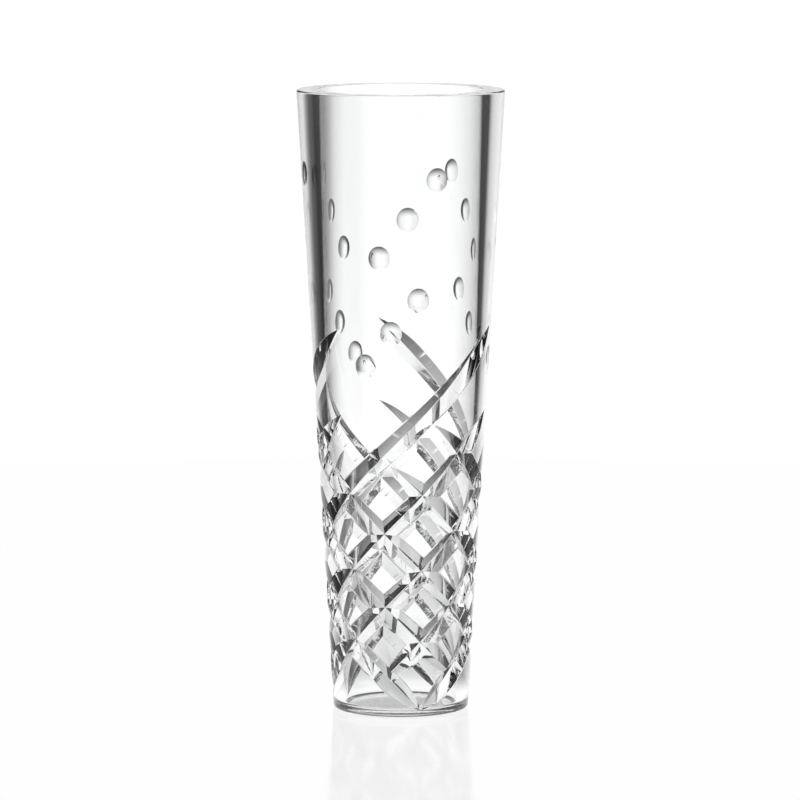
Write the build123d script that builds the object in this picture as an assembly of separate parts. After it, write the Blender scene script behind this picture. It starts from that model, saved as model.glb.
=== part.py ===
from build123d import *
import os
from math import cos, exp, radians, sin, sqrt, tan

# Cut crystal vase: one slightly flaring glass tube, thick at the rim and thinner
# below, with a flat ground bottom. Its lower half carries a lattice of mitre-cut
# helices, and six round "printy" dimples drift up above each third of it.
# Millimetres, +Z up, origin at the centre of the ground base. Angles are counted
# about +Z, and "front" (heading 0) is the direction -Y.

# ---- driving dimensions -------------------------------------------------
height = 250.0
base_radius = 27.2           # outside radius of the cone at the base plane
rim_radius = 41.9            # outside radius of the cone at the rim plane
rim_wall = 9.2               # glass thickness at the flat polished rim
rim_bevel = 0.8              # polished bevel on both edges of the rim
base_bevel = 1.3             # rounded edge that the vase stands inside of
lower_wall = 4.7             # glass thickness in the cut lower half
bend_height = 128.0          # where the wall starts to thicken towards the rim
bend_radius = 1000.0         # very soft bend of the hollow there
floor_height = 2.0           # thickness of the flat bottom
floor_fillet = 2.2           # inside corner between the bottom and the wall

repeats = 3                  # the cutting repeats this often round the vase

# Mitre cuts: V-shaped grooves that follow helices of constant slope.
cut_width = 9.4              # across the groove, at the surface
cut_angle = 118.0            # included angle of the V
helix_slope = 42.8           # rise of a helix above the horizontal, degrees
row_turn = 30.0              # turn between one row of crossings and the next
lowest_row = 2.8             # height of row 0, where the long cuts end
wheel_radius = 92.0          # radius of the cutting wheel: long run-out
tail_wheel_radius = 55.0     # tighter run-out at the lower ends
wheel_clearance = 1.6        # how far a cutter's back stands outside the glass
sections_per_row = 3         # sections that guide a cutter between two crossings
end_overrun = 0.08           # rows by which a cutter runs past each end of its cut
end_section = 0.1            # rows between an end and the next section

# Printies: shallow spherical dimples.
printy_diameter = 9.7
printy_depth = 1.2

printies_per_row = 3
printy_turn = -17.0          # heading from one printy of a row to the next
printy_rows = [
    {"heading": 21.0, "height": 216.0, "drop": 15.5},
    {"heading": 10.8, "height": 168.3, "drop": 13.3},
]

# Cuts of one repeat. Each runs from a heading and row number at its upper end
# to a row number at its lower end. Turn is -1 where the heading falls on the
# way down, and +1 where it grows. "open" upper ends start on plain glass;
# the others start at the lower edge of the long right-hand cut.
cuts = [
    {"heading": 77.0, "top_row": 10.0, "end_row": 0.0, "turn": -1, "open": True},
    {"heading": 77.0, "top_row": 8.0, "end_row": 1.0, "turn": -1, "open": True},
    {"heading": 17.0, "top_row": 8.0, "end_row": 0.0, "turn": 1, "open": False},
    {"heading": -13.0, "top_row": 7.0, "end_row": 1.0, "turn": 1, "open": False},
]

# ---- derived sizes ------------------------------------------------------
flare = (rim_radius - base_radius) / height
cut_depth = cut_width / 2 / tan(radians(cut_angle / 2))
cavity_rim = rim_radius - rim_wall
row_growth = flare * tan(radians(helix_slope)) * radians(row_turn)
row_zero_radius = base_radius + flare * lowest_row


def outer_radius(z):
    """Radius of the uncut outside at height z."""
    return base_radius + flare * z


def row_radius(row):
    """Outside radius at a (fractional) row of the lattice."""
    return row_zero_radius * exp(row_growth * row)


def row_height(row):
    return (row_radius(row) - base_radius) / flare


def at_heading(heading, radius, z):
    """Point at a heading counted from the front, positive towards +X."""
    a = radians(heading)
    return Vector(radius * sin(a), -radius * cos(a), z)


def blank():
    """Uncut body: a cone with a rounded base edge, hollowed from the rim."""
    outside = make_face(
        Polyline(
            (0, 0),
            (base_radius - base_bevel, 0),
            (outer_radius(base_bevel), base_bevel),
            (outer_radius(height - rim_bevel), height - rim_bevel),
            (rim_radius - rim_bevel, height),
            (0, height),
            (0, 0),
        )
    )
    solid = revolve(Plane.XZ * outside, Axis.Z)

    # The hollow is two cones that meet in a soft bend, and it ends on a flat floor.
    above = height + rim_wall
    hollow = make_face(
        Polyline(
            (0, floor_height),
            (outer_radius(floor_height) - lower_wall, floor_height),
            (outer_radius(bend_height) - lower_wall, bend_height),
            (cavity_rim, height),
            (cavity_rim, above),
            (0, above),
            (0, floor_height),
        )
    )
    floor_corner = hollow.vertices().filter_by_position(Axis.X, rim_bevel, rim_radius).sort_by(Axis.Y)[0]
    hollow = fillet(floor_corner, floor_fillet)
    bend = hollow.vertices().filter_by_position(Axis.Y, bend_height - rim_wall, bend_height + rim_wall)
    hollow = revolve(Plane.XZ * fillet(bend, bend_radius), Axis.Z)

    bevel = make_face(
        Polyline(
            (cavity_rim - rim_bevel, height - rim_bevel),
            (cavity_rim + rim_bevel, height + rim_bevel),
            (cavity_rim - rim_bevel, height + rim_bevel),
            (cavity_rim - rim_bevel, height - rim_bevel),
        )
    )
    return solid - hollow - revolve(Plane.XZ * bevel, Axis.Z)


def run_out(distance, wheel):
    """How far the wheel has lifted at a distance before the end of a cut."""
    full = sqrt(2 * wheel * cut_depth)
    if distance >= full:
        return 0.0
    return (full - distance) ** 2 / (2 * wheel)


def mitre_cutter(cut):
    """Solid swept by the V edge of the wheel along one helix."""
    top, end, turn = cut["top_row"], cut["end_row"], cut["turn"]
    if cut["open"]:
        start_gap = 0.0
    else:
        start_gap = cut_width / 2 / sin(radians(2 * helix_slope))
    steps = sections_per_row * round(top - end)
    inner_rows = [top - (top - end) / steps * i for i in range(1, steps)]
    first_rows = [top + end_overrun, top - end_section]
    last_rows = [end + end_section, end - end_overrun]
    faces = []
    for row in first_rows + inner_rows + last_rows:
        radius = row_radius(row)
        z = row_height(row)
        heading = cut["heading"] + turn * row_turn * (top - row)
        from_top = (row_radius(top) - radius) / flare / sin(radians(helix_slope)) - start_gap
        from_end = (radius - row_radius(end)) / flare / sin(radians(helix_slope))
        lift = run_out(from_top, wheel_radius) + run_out(from_end, tail_wheel_radius)
        centre = at_heading(heading, radius, z)
        outward = (at_heading(heading, 1, 0) - Vector(0, 0, flare)).normalized()
        sideways = at_heading(heading + 90, 1, 0)
        uphill = outward.cross(sideways)
        along = sideways * turn * cos(radians(helix_slope)) - uphill * sin(radians(helix_slope))
        across = along.cross(outward).normalized()
        apex = centre + outward * (lift - cut_depth)
        rise = cut_depth + wheel_clearance
        reach = rise * tan(radians(cut_angle / 2))
        left = apex + outward * rise - across * reach
        right = apex + outward * rise + across * reach
        faces.append(make_face(Polyline(apex, right, left, apex)))
    return Solid(loft(faces).wrapped)


def printy_cutter(heading, z):
    """Ball that leaves a round dimple of the stated diameter and depth."""
    ball = ((printy_diameter / 2) ** 2 + printy_depth ** 2) / (2 * printy_depth)
    reach = outer_radius(z) + ball - printy_depth
    return Pos(at_heading(heading, reach, z)) * Sphere(ball)


def vase_body():
    body = blank()
    for repeat in range(repeats):
        turn = Rot(0, 0, 360.0 / repeats * repeat)
        for row in printy_rows:
            for i in range(printies_per_row):
                heading = row["heading"] + printy_turn * i
                body = body - turn * printy_cutter(heading, row["height"] - row["drop"] * i)
    cutters = [mitre_cutter(cut) for cut in cuts]
    for repeat in range(repeats):
        turn = Rot(0, 0, 360.0 / repeats * repeat)
        for cutter in cutters:
            body = body - turn * cutter
    return body


os.makedirs("parts", exist_ok=True)
vase = vase_body()
export_step(vase, "parts/vase_body.step")
print("vase_body", round(vase.volume / 1000.0, 1), "cm3, solids", len(vase.solids()))
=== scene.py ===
import bpy
import math
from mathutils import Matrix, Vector


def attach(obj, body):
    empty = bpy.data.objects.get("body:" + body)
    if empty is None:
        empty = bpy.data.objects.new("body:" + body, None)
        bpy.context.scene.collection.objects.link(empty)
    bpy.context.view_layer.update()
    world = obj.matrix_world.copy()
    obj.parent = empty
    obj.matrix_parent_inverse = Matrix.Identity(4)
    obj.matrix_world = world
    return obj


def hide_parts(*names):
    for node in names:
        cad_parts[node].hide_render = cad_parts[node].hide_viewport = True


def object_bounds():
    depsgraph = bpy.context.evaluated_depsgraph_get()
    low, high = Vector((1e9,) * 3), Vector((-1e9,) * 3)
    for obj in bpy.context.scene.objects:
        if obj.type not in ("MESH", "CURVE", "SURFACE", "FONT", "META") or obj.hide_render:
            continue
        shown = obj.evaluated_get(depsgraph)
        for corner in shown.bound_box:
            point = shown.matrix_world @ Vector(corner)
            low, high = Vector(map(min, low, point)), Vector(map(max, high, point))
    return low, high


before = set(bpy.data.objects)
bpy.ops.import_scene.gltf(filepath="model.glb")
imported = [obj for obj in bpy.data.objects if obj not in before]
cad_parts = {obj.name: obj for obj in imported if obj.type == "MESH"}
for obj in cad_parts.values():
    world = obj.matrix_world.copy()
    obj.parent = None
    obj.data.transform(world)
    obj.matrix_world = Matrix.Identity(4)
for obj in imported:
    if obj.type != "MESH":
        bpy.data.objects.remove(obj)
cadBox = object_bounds()

mm = 0.001


class Wire:
    # one output socket that can be added, multiplied and so on
    def __init__(self, tree, socket):
        self.tree = tree
        self.socket = socket

    def math(self, operation, *others):
        return addNode(self.tree, "ShaderNodeMath", {"operation": operation}, [self, *others])

    def swapped(self, operation, first):
        return addNode(self.tree, "ShaderNodeMath", {"operation": operation}, [first, self])

    def __add__(self, other):
        return self.math("ADD", other)

    def __radd__(self, other):
        return self.math("ADD", other)

    def __sub__(self, other):
        return self.math("SUBTRACT", other)

    def __rsub__(self, other):
        return self.swapped("SUBTRACT", other)

    def __mul__(self, other):
        return self.math("MULTIPLY", other)

    def __rmul__(self, other):
        return self.math("MULTIPLY", other)

    def __truediv__(self, other):
        return self.math("DIVIDE", other)

    def __rtruediv__(self, other):
        return self.swapped("DIVIDE", other)

    def __neg__(self):
        return self.math("MULTIPLY", -1.0)


def addNode(tree, kind, settings=None, inputs=None, output=0):
    node = tree.nodes.new(kind)
    for name, value in (settings or {}).items():
        if name == "stops":
            ramp = node.color_ramp
            while len(ramp.elements) < len(value):
                ramp.elements.new(1.0)
            for element, (place, shade) in zip(ramp.elements, value):
                element.position = place
                element.color = (shade, shade, shade, 1.0)
        else:
            setattr(node, name, value)
    pairs = enumerate(inputs) if isinstance(inputs, (list, tuple)) else (inputs or {}).items()
    for key, value in pairs:
        socket = node.inputs[key]
        if isinstance(value, Wire):
            tree.links.new(value.socket, socket)
        elif value is not None:
            socket.default_value = value
    return Wire(tree, node.outputs[output])


def vectorMath(operation, *values, output=0):
    tree = next(v.tree for v in values if isinstance(v, Wire))
    return addNode(tree, "ShaderNodeVectorMath", {"operation": operation}, list(values), output)


def scaled(vector, factor):
    return addNode(vector.tree, "ShaderNodeVectorMath", {"operation": "SCALE"},
                   {"Vector": vector, "Scale": factor})


def combined(tree, x, y, z):
    return addNode(tree, "ShaderNodeCombineXYZ", None, [x, y, z])


def separated(vector):
    node = addNode(vector.tree, "ShaderNodeSeparateXYZ", None, [vector]).socket.node
    return [Wire(vector.tree, socket) for socket in node.outputs]


def fade(value, start, end, first, last):
    # a soft step from first to last, as the value goes from start to end
    return addNode(value.tree, "ShaderNodeMapRange", {"interpolation_type": "SMOOTHSTEP"},
                   {"Value": value, "From Min": start, "From Max": end, "To Min": first, "To Max": last})


def inputWires(tree, sockets):
    for name, kind, value in sockets:
        item = tree.interface.new_socket(name, in_out="INPUT", socket_type=kind)
        if value is not None:
            item.default_value = value
    source = tree.nodes.new("NodeGroupInput")
    return {name: Wire(tree, source.outputs[name]) for name, kind, value in sockets}


def setInputs(modifier, tree, values):
    for item in tree.interface.items_tree:
        if item.item_type == "SOCKET" and item.in_out == "INPUT" and item.name in values:
            modifier[item.identifier] = values[item.name]


blank = {
    "baseRadius": 27.2 * mm,
    "rimRadius": 41.9 * mm,
    "rimWall": 9.2 * mm,
    "rimBevel": 0.8 * mm,
    "baseBevel": 1.3 * mm,
    "lowerWall": 4.7 * mm,
    "bendHeight": 128.0 * mm,   # from here up the wall thickens towards the rim
    "bendReach": 18.0 * mm,     # half the height of the soft bend
    "floorHeight": 2.0 * mm,
    "floorFillet": 2.2 * mm,
    "step": 0.15 * mm,          # short straight stretch beside each arc
    "arcPoints": 10,
    "segments": 288,
    "outsideRings": 8,
    "wallRings": 24,
    "crease": 12.0,             # edges of the blank that turn more than this stay sharp
}
height = cadBox[1][2]
flare = (blank["rimRadius"] - blank["baseRadius"]) / height


def outerRadius(z):
    return blank["baseRadius"] + flare * z


def hollowRadius(z):
    # two straight walls, with a soft bend between them
    bend, reach = blank["bendHeight"], blank["bendReach"]
    bendRadius = outerRadius(bend) - blank["lowerWall"]
    upper = (blank["rimRadius"] - blank["rimWall"] - bendRadius) / (height - bend)
    low, high = bendRadius + flare * (z - bend), bendRadius + upper * (z - bend)
    if abs(z - bend) >= reach:
        return low if z < bend else high
    return low + (upper - flare) * (z - bend + reach) ** 2 / (4 * reach)


def blankOutline():
    # (radius, height) from the middle of the base, round the rim, down to the floor
    points = []
    arcSteps = blank["arcPoints"] - 1

    def arc(centre, radius, start, end):
        for i in range(arcSteps + 1):
            a = math.radians(start + (end - start) * i / arcSteps)
            points.append((centre[0] + radius * math.cos(a), centre[1] + radius * math.sin(a)))

    # the straight steps keep the flats beside each arc flat when they are shaded smooth
    b, r, step = blank["baseBevel"], blank["rimBevel"], blank["step"]
    points.append((blank["baseRadius"] - b - step, 0.0))
    arc((outerRadius(b) - b, b), b, -90, 0)
    rise = height - r - b
    rings = blank["outsideRings"]
    for z in [b + step] + [b + rise * i / rings for i in range(1, rings)] + [height - r - step]:
        points.append((outerRadius(z), z))
    rim = blank["rimRadius"]
    arc((outerRadius(height - r) - r, height - r), r, 0, 90)
    inside = rim - blank["rimWall"]
    points += [(rim - r - step, height), (inside + r + step, height)]
    arc((hollowRadius(height - r) + r, height - r), r, 90, 180)
    floor, fillet = blank["floorHeight"], blank["floorFillet"]
    rings = blank["wallRings"]
    rise = height - r - floor - fillet - 2 * step
    for i in range(rings + 1):
        z = height - r - step - rise * i / rings
        points.append((hollowRadius(z), z))
    corner = hollowRadius(floor + fillet) - fillet
    arc((corner, floor + fillet), fillet, 0, -90)
    points.append((corner - step, floor))
    return points


def turnedMesh(name, outline, floorZ):
    # turn the outline round Z, with a fan at each end
    count = blank["segments"]
    verts, faces = [], []
    for radius, z in outline:
        for k in range(count):
            a = 2 * math.pi * k / count
            verts.append((radius * math.cos(a), radius * math.sin(a), z))
    for i in range(len(outline) - 1):
        for k in range(count):
            n = (k + 1) % count
            a, b = i * count, (i + 1) * count
            faces.append((a + k, a + n, b + n, b + k))
    low, high = len(verts), len(verts) + 1
    verts += [(0, 0, outline[0][1]), (0, 0, floorZ)]
    last = (len(outline) - 1) * count
    for k in range(count):
        n = (k + 1) % count
        faces.append((low, n, k))
        faces.append((high, last + k, last + n))
    mesh = bpy.data.meshes.new(name)
    mesh.from_pydata(verts, [], faces)
    mesh.validate()
    return mesh


cutting = {
    "width": 9.4 * mm,
    "angle": 118.0,
    "slope": 42.8,
    "rowTurn": 30.0,
    "lowestRow": 2.8 * mm,
    "wheel": 92.0 * mm,
    "tailWheel": 55.0 * mm,
    "overrun": 0.08,            # rows by which a wheel runs past each end of its cut
    "lead": 0.6 * mm,           # how far the back of a wheel stands outside the glass
    "easingLead": 0.7,          # share of that lead which the easing wheel goes without
    "valley": 0.16 * mm,        # half the flat at the bottom of a cut, which is shaded round
    "edgeAngle": 145.0,         # the same path again with a blunt wheel, which eases the edges
    "edgeEase": 0.03 * mm,
    "easeRise": 2.5,            # how fast the easing comes in as a cut widens
    "leastBand": 0.05 * mm,     # narrowest edge over which the shading turns
    "stepTurn": 2.0,
    "repeats": 3,
}
cuts = [
    {"heading": 77.0, "topRow": 10.0, "endRow": 0.0, "turn": -1.0, "gap": 0.0},
    {"heading": 77.0, "topRow": 8.0, "endRow": 1.0, "turn": -1.0, "gap": 0.0},
    {"heading": 17.0, "topRow": 8.0, "endRow": 0.0, "turn": 1.0, "gap": 1.0},
    {"heading": -13.0, "topRow": 7.0, "endRow": 1.0, "turn": 1.0, "gap": 1.0},
]
printy = {
    "diameter": 9.7 * mm,
    "depth": 1.2 * mm,
    "rows": [
        {"heading": 21.0, "height": 216.0 * mm, "turn": -17.0, "drop": 15.5 * mm},
        {"heading": 10.8, "height": 168.3 * mm, "turn": -17.0, "drop": 13.3 * mm},
    ],
    "perRow": 3,
    "segments": 96,
    "rings": 48,
}


def storePolish(geometry, normal, place):
    # keep the smooth normal of every corner, as radial, sideways and upward parts,
    # so that it stays true when the piece is turned about Z
    tree = geometry.tree
    flat = vectorMath("MULTIPLY", place, (1.0, 1.0, 0.0))
    radial = vectorMath("NORMALIZE", flat)
    up = combined(tree, 0.0, 0.0, 1.0)
    side = vectorMath("CROSS_PRODUCT", up, radial)
    parts = combined(tree, vectorMath("DOT_PRODUCT", normal, radial, output=1),
                     vectorMath("DOT_PRODUCT", normal, side, output=1),
                     vectorMath("DOT_PRODUCT", normal, up, output=1))
    return addNode(tree, "GeometryNodeStoreNamedAttribute",
                   {"data_type": "FLOAT_VECTOR", "domain": "CORNER"},
                   {"Geometry": geometry, "Name": "polish", "Value": parts})


def polishNormals(geometry, sign):
    tree = geometry.tree
    geometry = addNode(tree, "GeometryNodeSetShadeSmooth", None, {"Geometry": geometry})
    normal = scaled(addNode(tree, "GeometryNodeInputNormal"), sign)
    return storePolish(geometry, normal, addNode(tree, "GeometryNodeInputPosition"))


def tagged(geometry, name, value):
    return addNode(geometry.tree, "GeometryNodeStoreNamedAttribute",
                   {"data_type": "FLOAT", "domain": "FACE"},
                   {"Geometry": geometry, "Name": name, "Value": value})


def sharpByAngle(geometry, degrees):
    tree = geometry.tree
    angle = addNode(tree, "GeometryNodeInputMeshEdgeAngle")
    wide = addNode(tree, "FunctionNodeCompare", {"data_type": "FLOAT", "operation": "GREATER_THAN"},
                   [angle, math.radians(degrees)])
    geometry = addNode(tree, "GeometryNodeSetShadeSmooth", {"domain": "FACE"}, {"Geometry": geometry})
    return addNode(tree, "GeometryNodeSetShadeSmooth", {"domain": "EDGE"},
                   {"Geometry": geometry, "Selection": wide, "Shade Smooth": False})


def mitreTree():
    tree = bpy.data.node_groups.new("mitreCut", "GeometryNodeTree")
    g = inputWires(tree, [
        ("Heading", "NodeSocketFloat", 0.0),
        ("Top Row", "NodeSocketFloat", 8.0),
        ("End Row", "NodeSocketFloat", 0.0),
        ("Turn", "NodeSocketFloat", 1.0),
        ("Gap", "NodeSocketFloat", 0.0),
        ("Base Radius", "NodeSocketFloat", 0.027),
        ("Flare", "NodeSocketFloat", 0.06),
        ("Lowest Row", "NodeSocketFloat", 0.003),
        ("Row Turn", "NodeSocketFloat", 0.5),
        ("Slope", "NodeSocketFloat", 0.75),
        ("Depth", "NodeSocketFloat", 0.003),
        ("Half Angle", "NodeSocketFloat", 1.0),
        ("Edge Angle", "NodeSocketFloat", 1.2),
        ("Edge Ease", "NodeSocketFloat", 0.0),
        ("Easing", "NodeSocketFloat", 0.0),
        ("Valley", "NodeSocketFloat", 0.0002),
        ("Wheel", "NodeSocketFloat", 0.09),
        ("Tail Wheel", "NodeSocketFloat", 0.05),
        ("Lead", "NodeSocketFloat", 0.0015),
        ("Steps", "NodeSocketInt", 100),
    ])
    tree.interface.new_socket("Geometry", in_out="OUTPUT", socket_type="NodeSocketGeometry")

    # a straight bar with a four-sided section, bent along the helix below
    bar = addNode(tree, "GeometryNodeMeshCylinder", {"fill_type": "NGON"},
                  {"Vertices": 4, "Side Segments": g["Steps"], "Radius": 1.0, "Depth": 1.0})
    x, y, z = separated(addNode(tree, "GeometryNodeInputPosition"))
    back = 0.5 - (x + y) / 2.0                   # 0 at the cutting edge, 1 at the back
    side = y - x
    along = z + 0.5

    extra = cutting["overrun"]
    row = g["Top Row"] + extra - along * (g["Top Row"] - g["End Row"] + 2 * extra)
    tanSlope = g["Slope"].math("TANGENT")
    sinSlope = g["Slope"].math("SINE")
    cosSlope = g["Slope"].math("COSINE")
    growth = g["Flare"] * tanSlope * g["Row Turn"]
    rowZero = g["Base Radius"] + g["Flare"] * g["Lowest Row"]

    def rowRadius(value):
        return rowZero * (growth * value).math("EXPONENT")

    radius = rowRadius(row)
    rise = (radius - g["Base Radius"]) / g["Flare"]
    a = g["Heading"] + g["Turn"] * g["Row Turn"] * (g["Top Row"] - row)
    sinA, cosA = a.math("SINE"), a.math("COSINE")
    centre = combined(tree, radius * sinA, -(radius * cosA), rise)
    outward = vectorMath("NORMALIZE", combined(tree, sinA, -cosA, -g["Flare"]))
    sideways = combined(tree, cosA, sinA, 0.0)
    uphill = vectorMath("CROSS_PRODUCT", outward, sideways)
    path = vectorMath("SUBTRACT", scaled(sideways, g["Turn"] * cosSlope), scaled(uphill, sinSlope))
    across = vectorMath("NORMALIZE", vectorMath("CROSS_PRODUCT", path, outward))

    def runOut(distance, wheel):
        full = (2.0 * wheel * g["Depth"]).math("SQRT")
        short = (full - distance).math("MAXIMUM", 0.0)
        return short * short / (2.0 * wheel)

    fromTop = (rowRadius(g["Top Row"]) - radius) / g["Flare"] / sinSlope - g["Gap"]
    fromEnd = (radius - rowRadius(g["End Row"])) / g["Flare"] / sinSlope
    lift = runOut(fromTop, g["Wheel"]) + runOut(fromEnd, g["Tail Wheel"])
    halfWidth = (g["Depth"] - lift) * g["Half Angle"].math("TANGENT")

    # the easing bar has the blunter angle, and reaches just past the edges of the cut
    blunt = g["Half Angle"] + (g["Edge Angle"] - g["Half Angle"]) * g["Easing"]
    tanBlunt = blunt.math("TANGENT")
    curve = sinSlope * sinSlope / radius
    drop = halfWidth * halfWidth * curve / 2.0
    share = halfWidth / g["Depth"] / g["Half Angle"].math("TANGENT")
    fading = (share * cutting["easeRise"] - 1.0).math("MAXIMUM", 0.0)
    fading = fading.math("MINIMUM", 1.0)         # the easing dies away where a cut runs out
    wider = (g["Edge Ease"] + drop * tanBlunt) * g["Easing"] * fading
    # it is kept close to the edges; 0.01 only guards the division where the two angles meet
    sharp, dull = 1.0 / g["Half Angle"].math("TANGENT"), 1.0 / tanBlunt
    reach = dull * wider / (sharp - dull).math("MAXIMUM", 0.01)
    inner = (halfWidth - reach - g["Valley"]) * g["Easing"]
    inner = inner.math("MAXIMUM", g["Valley"])
    lead = g["Lead"] * (1.0 - cutting["easingLead"] * g["Easing"])
    outer = (halfWidth + wider).math("MAXIMUM", 0.0) + lead * tanBlunt
    offset = inner + (outer - inner) * back
    lifted = scaled(outward, (offset - halfWidth - wider) / tanBlunt)
    moved = vectorMath("ADD", vectorMath("ADD", centre, lifted), scaled(across, side * offset))

    # smooth normals: flat flanks that turn into each other across the valley, and an edge that
    # turns from the blank's normal to the flank's over the width of the easing
    flank = vectorMath("SUBTRACT", scaled(outward, g["Half Angle"].math("SINE")),
                       scaled(across, side * g["Half Angle"].math("COSINE")))
    skin = vectorMath("ADD", outward, scaled(across, side * offset * curve))
    skinEdge = wider - drop * tanBlunt
    band = (skinEdge + reach).math("MAXIMUM", cutting["leastBand"])
    amount = (halfWidth + skinEdge - offset) / band
    amount = 1.0 + (amount - 1.0) * g["Easing"]
    normal = vectorMath("ADD", skin, scaled(vectorMath("SUBTRACT", flank, skin), amount))
    bar = storePolish(bar, normal, moved)
    bent = addNode(tree, "GeometryNodeSetPosition", None, {"Geometry": bar, "Position": moved})
    bent = addNode(tree, "GeometryNodeTriangulate", None, [bent])
    bent = addNode(tree, "GeometryNodeFlipFaces", None, {"Mesh": bent})
    sink = tree.nodes.new("NodeGroupOutput")
    tree.links.new(bent.socket, sink.inputs[0])
    return tree


def printyTree():
    tree = bpy.data.node_groups.new("printyRow", "GeometryNodeTree")
    g = inputWires(tree, [
        ("Heading", "NodeSocketFloat", 0.0),
        ("Height", "NodeSocketFloat", 0.2),
        ("Turn", "NodeSocketFloat", -0.3),
        ("Drop", "NodeSocketFloat", 0.015),
        ("Count", "NodeSocketInt", 3),
        ("Ball", "NodeSocketFloat", 0.01),
        ("Depth", "NodeSocketFloat", 0.001),
        ("Base Radius", "NodeSocketFloat", 0.027),
        ("Flare", "NodeSocketFloat", 0.06),
    ])
    tree.interface.new_socket("Geometry", in_out="OUTPUT", socket_type="NodeSocketGeometry")
    index = addNode(tree, "GeometryNodeInputIndex")
    a = g["Heading"] + g["Turn"] * index
    z = g["Height"] - g["Drop"] * index
    reach = g["Base Radius"] + g["Flare"] * z + g["Ball"] - g["Depth"]
    spot = combined(tree, reach * a.math("SINE"), -(reach * a.math("COSINE")), z)
    points = addNode(tree, "GeometryNodePoints", None, {"Count": g["Count"], "Position": spot})
    ball = addNode(tree, "GeometryNodeMeshUVSphere", None,
                   {"Segments": printy["segments"], "Rings": printy["rings"], "Radius": g["Ball"]})
    turned = addNode(tree, "FunctionNodeAxisAngleToRotation", None,
                     {"Axis": (1.0, 0.0, 0.0), "Angle": math.radians(90)})
    swung = addNode(tree, "FunctionNodeAxisAngleToRotation", None, {"Axis": (0.0, 0.0, 1.0), "Angle": a})
    facing = addNode(tree, "FunctionNodeRotateRotation", {"rotation_space": "LOCAL"}, [swung, turned])
    placed = addNode(tree, "GeometryNodeInstanceOnPoints", None,
                     {"Points": points, "Instance": ball, "Rotation": facing})
    real = addNode(tree, "GeometryNodeRealizeInstances", None, [placed])
    sink = tree.nodes.new("NodeGroupOutput")
    tree.links.new(real.socket, sink.inputs[0])
    return tree


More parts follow.
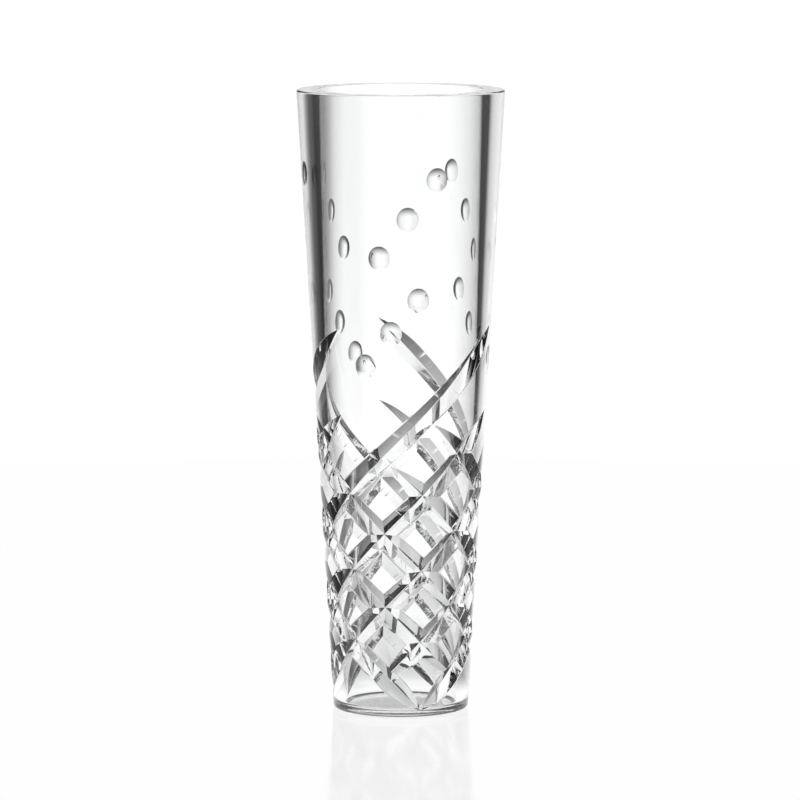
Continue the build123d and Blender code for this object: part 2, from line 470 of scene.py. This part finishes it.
def cuttingTree(material):
    tree = bpy.data.node_groups.new("cutVase", "GeometryNodeTree")
    g = inputWires(tree, [
        ("Geometry", "NodeSocketGeometry", None),
        ("Base Radius", "NodeSocketFloat", 0.027),
        ("Flare", "NodeSocketFloat", 0.06),
        ("Cut Width", "NodeSocketFloat", 0.009),
        ("Half Angle", "NodeSocketFloat", 1.0),
        ("Slope", "NodeSocketFloat", 0.75),
        ("Row Turn", "NodeSocketFloat", 0.5),
        ("Lowest Row", "NodeSocketFloat", 0.003),
        ("Wheel", "NodeSocketFloat", 0.09),
        ("Tail Wheel", "NodeSocketFloat", 0.05),
        ("Lead", "NodeSocketFloat", 0.0015),
        ("Valley", "NodeSocketFloat", 0.0002),
        ("Edge Angle", "NodeSocketFloat", 1.2),
        ("Edge Ease", "NodeSocketFloat", 0.0),
        ("Step Turn", "NodeSocketFloat", 0.04),
        ("Repeats", "NodeSocketInt", 3),
        ("Printy Diameter", "NodeSocketFloat", 0.01),
        ("Printy Depth", "NodeSocketFloat", 0.001),
    ])
    tree.interface.new_socket("Geometry", in_out="OUTPUT", socket_type="NodeSocketGeometry")
    depth = g["Cut Width"] / 2.0 / g["Half Angle"].math("TANGENT")
    mitre, row = mitreTree(), printyTree()

    tools = []
    for cut in cuts:
        gap = g["Cut Width"] / 2.0 / (2.0 * g["Slope"]).math("SINE") * cut["gap"]
        for easing in (0.0, 1.0):
            groove = addNode(tree, "GeometryNodeGroup", {"node_tree": mitre}, {
                "Heading": math.radians(cut["heading"]), "Top Row": cut["topRow"], "End Row": cut["endRow"],
                "Turn": cut["turn"], "Gap": gap, "Base Radius": g["Base Radius"], "Flare": g["Flare"],
                "Lowest Row": g["Lowest Row"], "Row Turn": g["Row Turn"], "Slope": g["Slope"],
                "Depth": depth, "Half Angle": g["Half Angle"], "Edge Angle": g["Edge Angle"],
                "Edge Ease": g["Edge Ease"], "Easing": easing, "Valley": g["Valley"],
                "Wheel": g["Wheel"], "Tail Wheel": g["Tail Wheel"], "Lead": g["Lead"],
                "Steps": (cut["topRow"] - cut["endRow"]) * g["Row Turn"] / g["Step Turn"]})
            tools.append(tagged(groove, "cut", 1.0))
    ball = (g["Printy Diameter"] * g["Printy Diameter"] / 4.0 + g["Printy Depth"] * g["Printy Depth"])
    ball = ball / (2.0 * g["Printy Depth"])
    for line in printy["rows"]:
        dimple = addNode(tree, "GeometryNodeGroup", {"node_tree": row}, {
            "Heading": math.radians(line["heading"]), "Height": line["height"],
            "Turn": math.radians(line["turn"]), "Drop": line["drop"], "Count": printy["perRow"],
            "Ball": ball, "Depth": g["Printy Depth"], "Base Radius": g["Base Radius"], "Flare": g["Flare"]})
        tools.append(tagged(polishNormals(dimple, -1.0), "cut", 2.0))

    # every tool stands again in each third of the vase
    index = addNode(tree, "GeometryNodeInputIndex")
    stands = addNode(tree, "GeometryNodePoints", None, {"Count": g["Repeats"]})
    turn = addNode(tree, "FunctionNodeAxisAngleToRotation", None,
                   {"Axis": (0.0, 0.0, 1.0), "Angle": index * (2 * math.pi) / g["Repeats"]})
    glass = tagged(polishNormals(sharpByAngle(g["Geometry"], blank["crease"]), 1.0), "cut", 0.0)
    carved = addNode(tree, "GeometryNodeMeshBoolean", {"operation": "DIFFERENCE", "solver": "MANIFOLD"},
                     {"Mesh 1": glass})
    for tool in tools:
        copies = addNode(tree, "GeometryNodeInstanceOnPoints", None,
                         {"Points": stands, "Instance": tool, "Rotation": turn})
        tree.links.new(copies.socket, carved.socket.node.inputs["Mesh 2"])
    carved = addNode(tree, "GeometryNodeTriangulate", None, [carved])
    carved = addNode(tree, "GeometryNodeRealizeInstances", None, [carved])
    carved = addNode(tree, "GeometryNodeSetMaterial", None, {"Geometry": carved, "Material": material})
    sink = tree.nodes.new("NodeGroupOutput")
    tree.links.new(carved.socket, sink.inputs[0])
    return tree


def cutGlass(material):
    mesh = turnedMesh("vaseGlass", blankOutline(), blank["floorHeight"])
    piece = bpy.data.objects.new("vaseGlass", mesh)
    bpy.context.scene.collection.objects.link(piece)
    tree = cuttingTree(material)
    modifier = piece.modifiers.new("cutting", "NODES")
    modifier.node_group = tree
    setInputs(modifier, tree, {
        "Base Radius": blank["baseRadius"], "Flare": flare, "Cut Width": cutting["width"],
        "Half Angle": math.radians(cutting["angle"] / 2), "Slope": math.radians(cutting["slope"]),
        "Row Turn": math.radians(cutting["rowTurn"]), "Lowest Row": cutting["lowestRow"],
        "Wheel": cutting["wheel"], "Tail Wheel": cutting["tailWheel"], "Lead": cutting["lead"],
        "Valley": cutting["valley"], "Edge Angle": math.radians(cutting["edgeAngle"] / 2),
        "Edge Ease": cutting["edgeEase"],
        "Step Turn": math.radians(cutting["stepTurn"]), "Repeats": cutting["repeats"],
        "Printy Diameter": printy["diameter"], "Printy Depth": printy["depth"]})
    evaluated = piece.evaluated_get(bpy.context.evaluated_depsgraph_get())
    result = bpy.data.meshes.new_from_object(evaluated)
    piece.modifiers.remove(modifier)
    piece.data = result
    bpy.data.meshes.remove(mesh)
    result.name = "vaseGlass"
    polishCorners(result)
    print("vase cut:", len(result.polygons), "faces")
    return piece


def polishCorners(mesh):
    # every corner takes back the smooth normal of the surface that it was cut by
    mesh.shade_smooth()
    kept = mesh.attributes["polish"].data
    normals = []
    for loop in mesh.loops:
        place = mesh.vertices[loop.vertex_index].co
        out = Vector((place.x, place.y, 0.0))
        radial = out.normalized() if out.length > 1e-6 else Vector((1.0, 0.0, 0.0))
        side = Vector((-radial.y, radial.x, 0.0))
        part = kept[loop.index].vector
        normal = radial * part.x + side * part.y + Vector((0.0, 0.0, part.z))
        normals.append(normal.normalized())
    mesh.normals_split_custom_set(normals)
    mesh.attributes.remove(mesh.attributes["polish"])


finish = {
    "index": 1.54,
    "clear": (0.985, 0.988, 0.988, 1.0),
    "waves": {"scale": 70.0, "detail": 1.0, "rough": 0.4},     # slow waves of the polished walls
    "waveStretch": (1.0, 1.0, 0.3),
    "waveHeight": 0.02 * mm,
    "ripple": {"scale": 420.0, "detail": 2.0, "rough": 0.5},   # left by the wheel in the cuts
    "rippleHeight": 0.004 * mm,
    "scuffs": {"scale": 900.0, "detail": 3.0, "rough": 0.5},   # on the ring that rubs on the table
    "scuffSpan": (0.45, 0.65),
    "leastWear": 0.2,
    "wearHeight": 0.2 * mm,
    "wearRoughness": 0.12,
    "wornTint": (0.90, 0.91, 0.91, 1.0),
}


def grain(place, kind):
    return addNode(place.tree, "ShaderNodeTexNoise", None,
                   {"Vector": place, "Scale": kind["scale"], "Detail": kind["detail"],
                    "Roughness": kind["rough"]})


def crystal():
    material = bpy.data.materials.new("crystal")
    material.use_nodes = True
    tree = material.node_tree
    shader = tree.nodes["Principled BSDF"]
    shader.inputs["IOR"].default_value = finish["index"]
    shader.inputs["Transmission Weight"].default_value = 1.0

    place = addNode(tree, "ShaderNodeTexCoord", None, None, "Object")
    cut = addNode(tree, "ShaderNodeAttribute", {"attribute_name": "cut"}, None, "Fac")
    ground = cut.math("MINIMUM", 1.0)            # 0 on the blank, 1 in the cuts and dimples
    waves = grain(vectorMath("MULTIPLY", place, finish["waveStretch"]), finish["waves"])
    ripple = grain(place, finish["ripple"])
    height = waves * finish["waveHeight"] + ripple * ground * finish["rippleHeight"]
    bump = addNode(tree, "ShaderNodeBump", None, {"Strength": 1.0, "Distance": 1.0, "Height": height})
    tree.links.new(bump.socket, shader.inputs["Normal"])

    # the foot's contact ring is scuffed
    low = fade(separated(place)[2], 0.0, finish["wearHeight"], 1.0, 0.0)
    least, most = finish["scuffSpan"]
    wear = low * addNode(tree, "ShaderNodeMapRange", None,
                         {"Value": grain(place, finish["scuffs"]), "From Min": least, "From Max": most,
                          "To Min": finish["leastWear"], "To Max": 1.0})
    rough = wear * finish["wearRoughness"]
    tree.links.new(rough.socket, shader.inputs["Roughness"])
    tint = addNode(tree, "ShaderNodeMix", {"data_type": "RGBA"}, None, 2)
    mixer = tint.socket.node
    tree.links.new(wear.socket, mixer.inputs[0])
    mixer.inputs[6].default_value = finish["clear"]
    mixer.inputs[7].default_value = finish["wornTint"]
    tree.links.new(tint.socket, shader.inputs["Base Color"])
    return material


studio = {
    "distance": 2137 * mm,
    "eye": 392 * mm,
    "aim": 124.8 * mm,
    "side": -0.3 * mm,
    "lens": 240.8,
    "sensor": 36.0,
    "farthest": 20.0,
    # light of the room by heading from +Y, positive towards +X
    "walls": [(-180, 0.3), (-160, 0.2), (-140, 0.03), (-112, 0.04), (-100, 0.8), (-80, 0.75), (-66, 0.02),
              (-46, 0.04), (-38, 0.07), (-34, 0.04), (-28, 0.15), (-21.6, 0.38), (-16, 0.8), (-10, 1.06),
              (-2, 1.2), (5, 1.2), (10, 1.1), (19, 0.97), (33, 0.64), (42, 0.03), (66, 0.02), (80, 0.5),
              (100, 0.5), (114, 0.04), (124, 0.8), (146, 0.75), (156, 0.03), (164, 0.2), (180, 0.3)],
    "ceiling": 0.04,
    # heights of a ray, from -1 straight down to 1 straight up, between which the light changes
    "ceilingSpan": (0.35, 0.75),
    "overSpan": (-0.02, 0.26),
    "overLeast": 0.08,
    "underSpan": (-0.5, -0.2),
    "underLeast": 0.25,
    "plainRoom": 1.05,          # what the camera and soft gloss see
    "plainFloor": 1.02,
    "floorRadius": 0.75,
    "floorSides": 96,
    "floorDrop": 0.2 * mm,
    # light of the floor by distance from the vase's axis, as the glass sees it
    "floorReach": 0.25,
    "floorLight": [(0.0, 0.85), (0.024, 0.9), (0.03, 1.15), (0.046, 1.15), (0.068, 0.94),
                   (0.095, 0.7), (0.147, 0.9), (0.23, 1.2)],
    "poolTurn": (0.1, 0.4),     # half turns from the back over which the pool fades
    "footSpan": (0.04, 0.1),
    "frontSpan": (0.1, 0.3),
    "sweepSpan": (0.42, 0.74),
    "nearFront": 0.03,
    "farFront": 0.75,
    "floorGloss": 0.16,
    "floorRoughness": 0.1,
}
bounces = {"max_bounces": 24, "transmission_bounces": 24, "glossy_bounces": 12}


def addCamera():
    data = bpy.data.cameras.new("camera")
    data.lens = studio["lens"]
    data.sensor_width = studio["sensor"]
    data.clip_end = studio["farthest"]
    camera = bpy.data.objects.new("camera", data)
    camera.location = (studio["side"], -studio["distance"], studio["eye"])
    look = Vector((studio["side"], 0.0, studio["aim"])) - camera.location
    camera.rotation_euler = look.to_track_quat("-Z", "Y").to_euler()
    bpy.context.scene.collection.objects.link(camera)
    bpy.context.scene.camera = camera


def lightRamp(value, levels, start, span):
    # levels are (place, light) pairs, and value is 0 at start and 1 a whole span further
    peak = max(level for place, level in levels)
    stops = [((place - start) / span, level / peak) for place, level in levels]
    return addNode(value.tree, "ShaderNodeValToRGB", {"stops": stops}, {"Fac": value}) * peak


def wallLight(heading):
    return lightRamp(heading, studio["walls"], -180.0, 360.0)


def floorDisc():
    sides, radius, level = studio["floorSides"], studio["floorRadius"], -studio["floorDrop"]
    verts = [(0.0, 0.0, level)]
    for k in range(sides):
        a = 2 * math.pi * k / sides
        verts.append((radius * math.cos(a), radius * math.sin(a), level))
    faces = [(0, 1 + k, 1 + (k + 1) % sides) for k in range(sides)]
    mesh = bpy.data.meshes.new("floor")
    mesh.from_pydata(verts, [], faces)
    return mesh


def addFloor():
    mesh = floorDisc()
    floor = bpy.data.objects.new("floor", mesh)
    bpy.context.scene.collection.objects.link(floor)
    material = bpy.data.materials.new("floor")
    material.use_nodes = True
    tree = material.node_tree
    tree.nodes.clear()
    place = addNode(tree, "ShaderNodeTexCoord", None, None, "Object")
    away = vectorMath("LENGTH", place, output=1)
    reach = studio["floorReach"]
    through = lightRamp(away / reach, studio["floorLight"], 0.0, reach)
    x, y, z = separated(place)
    heading = x.math("ARCTAN2", y) / math.pi     # -1 to 1, with 0 straight behind the vase

    # the pool of light lies behind the vase, and far out the floor sweeps up into the walls
    pool = fade(heading.math("ABSOLUTE"), *studio["poolTurn"], 1.0, 0.0)
    front = fade(away, *studio["frontSpan"], studio["nearFront"], studio["farFront"])
    pool = pool + (1.0 - pool) * front
    pool = pool.math("MAXIMUM", fade(away, *studio["footSpan"], 1.0, 0.0))
    sweep = fade(away, *studio["sweepSpan"], 0.0, 1.0)
    through = through * pool
    through = through + (wallLight(heading / 2.0 + 0.5) - through) * sweep
    # seen directly the floor is plain white
    seen = addNode(tree, "ShaderNodeLightPath", None, None, "Is Camera Ray")
    glow = addNode(tree, "ShaderNodeEmission", None,
                   {"Color": through + seen * (studio["plainFloor"] - through), "Strength": 1.0})
    gloss = addNode(tree, "ShaderNodeBsdfGlossy", None, {"Roughness": studio["floorRoughness"]})
    mixed = addNode(tree, "ShaderNodeMixShader", None, [studio["floorGloss"], glow, gloss])
    sink = tree.nodes.new("ShaderNodeOutputMaterial")
    tree.links.new(mixed.socket, sink.inputs["Surface"])
    mesh.materials.append(material)


def addWorld():
    world = bpy.data.worlds.new("studio")
    world.use_nodes = True
    bpy.context.scene.world = world
    tree = world.node_tree
    tree.nodes.clear()
    x, y, z = separated(addNode(tree, "ShaderNodeTexCoord", None, None, "Generated"))
    # heading from +Y, positive towards +X, from 0 to 1 round the whole turn
    heading = x.math("ARCTAN2", y) / (2 * math.pi) + 0.5
    ceiling = fade(z, *studio["ceilingSpan"], 0.0, studio["ceiling"])
    over = fade(z, *studio["overSpan"], 1.0, studio["overLeast"])
    under = fade(z, *studio["underSpan"], studio["underLeast"], 1.0)
    level = (wallLight(heading) * under * over).math("MAXIMUM", ceiling)
    # the camera and the floor's soft gloss see plain white, the glass sees the room
    seen = addNode(tree, "ShaderNodeLightPath", None, None, "Is Camera Ray")
    rays = seen.socket.node.outputs
    soft = Wire(tree, rays["Is Glossy Ray"]) * (1.0 - Wire(tree, rays["Is Singular Ray"]))
    level = level + seen.math("MAXIMUM", soft) * (studio["plainRoom"] - level)
    back = addNode(tree, "ShaderNodeBackground", None, {"Color": level, "Strength": 1.0})
    sink = tree.nodes.new("ShaderNodeOutputWorld")
    tree.links.new(back.socket, sink.inputs["Surface"])


def setLook():
    scene = bpy.context.scene
    scene.view_settings.view_transform = "Standard"
    scene.view_settings.look = "None"
    for name, value in bounces.items():
        setattr(scene.cycles, name, value)
    scene.cycles.use_denoising = True


vase = cutGlass(crystal())
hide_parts("vase_body")
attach(vase, "root")
addCamera()
addFloor()
addWorld()
setLook()
print("studio ready")
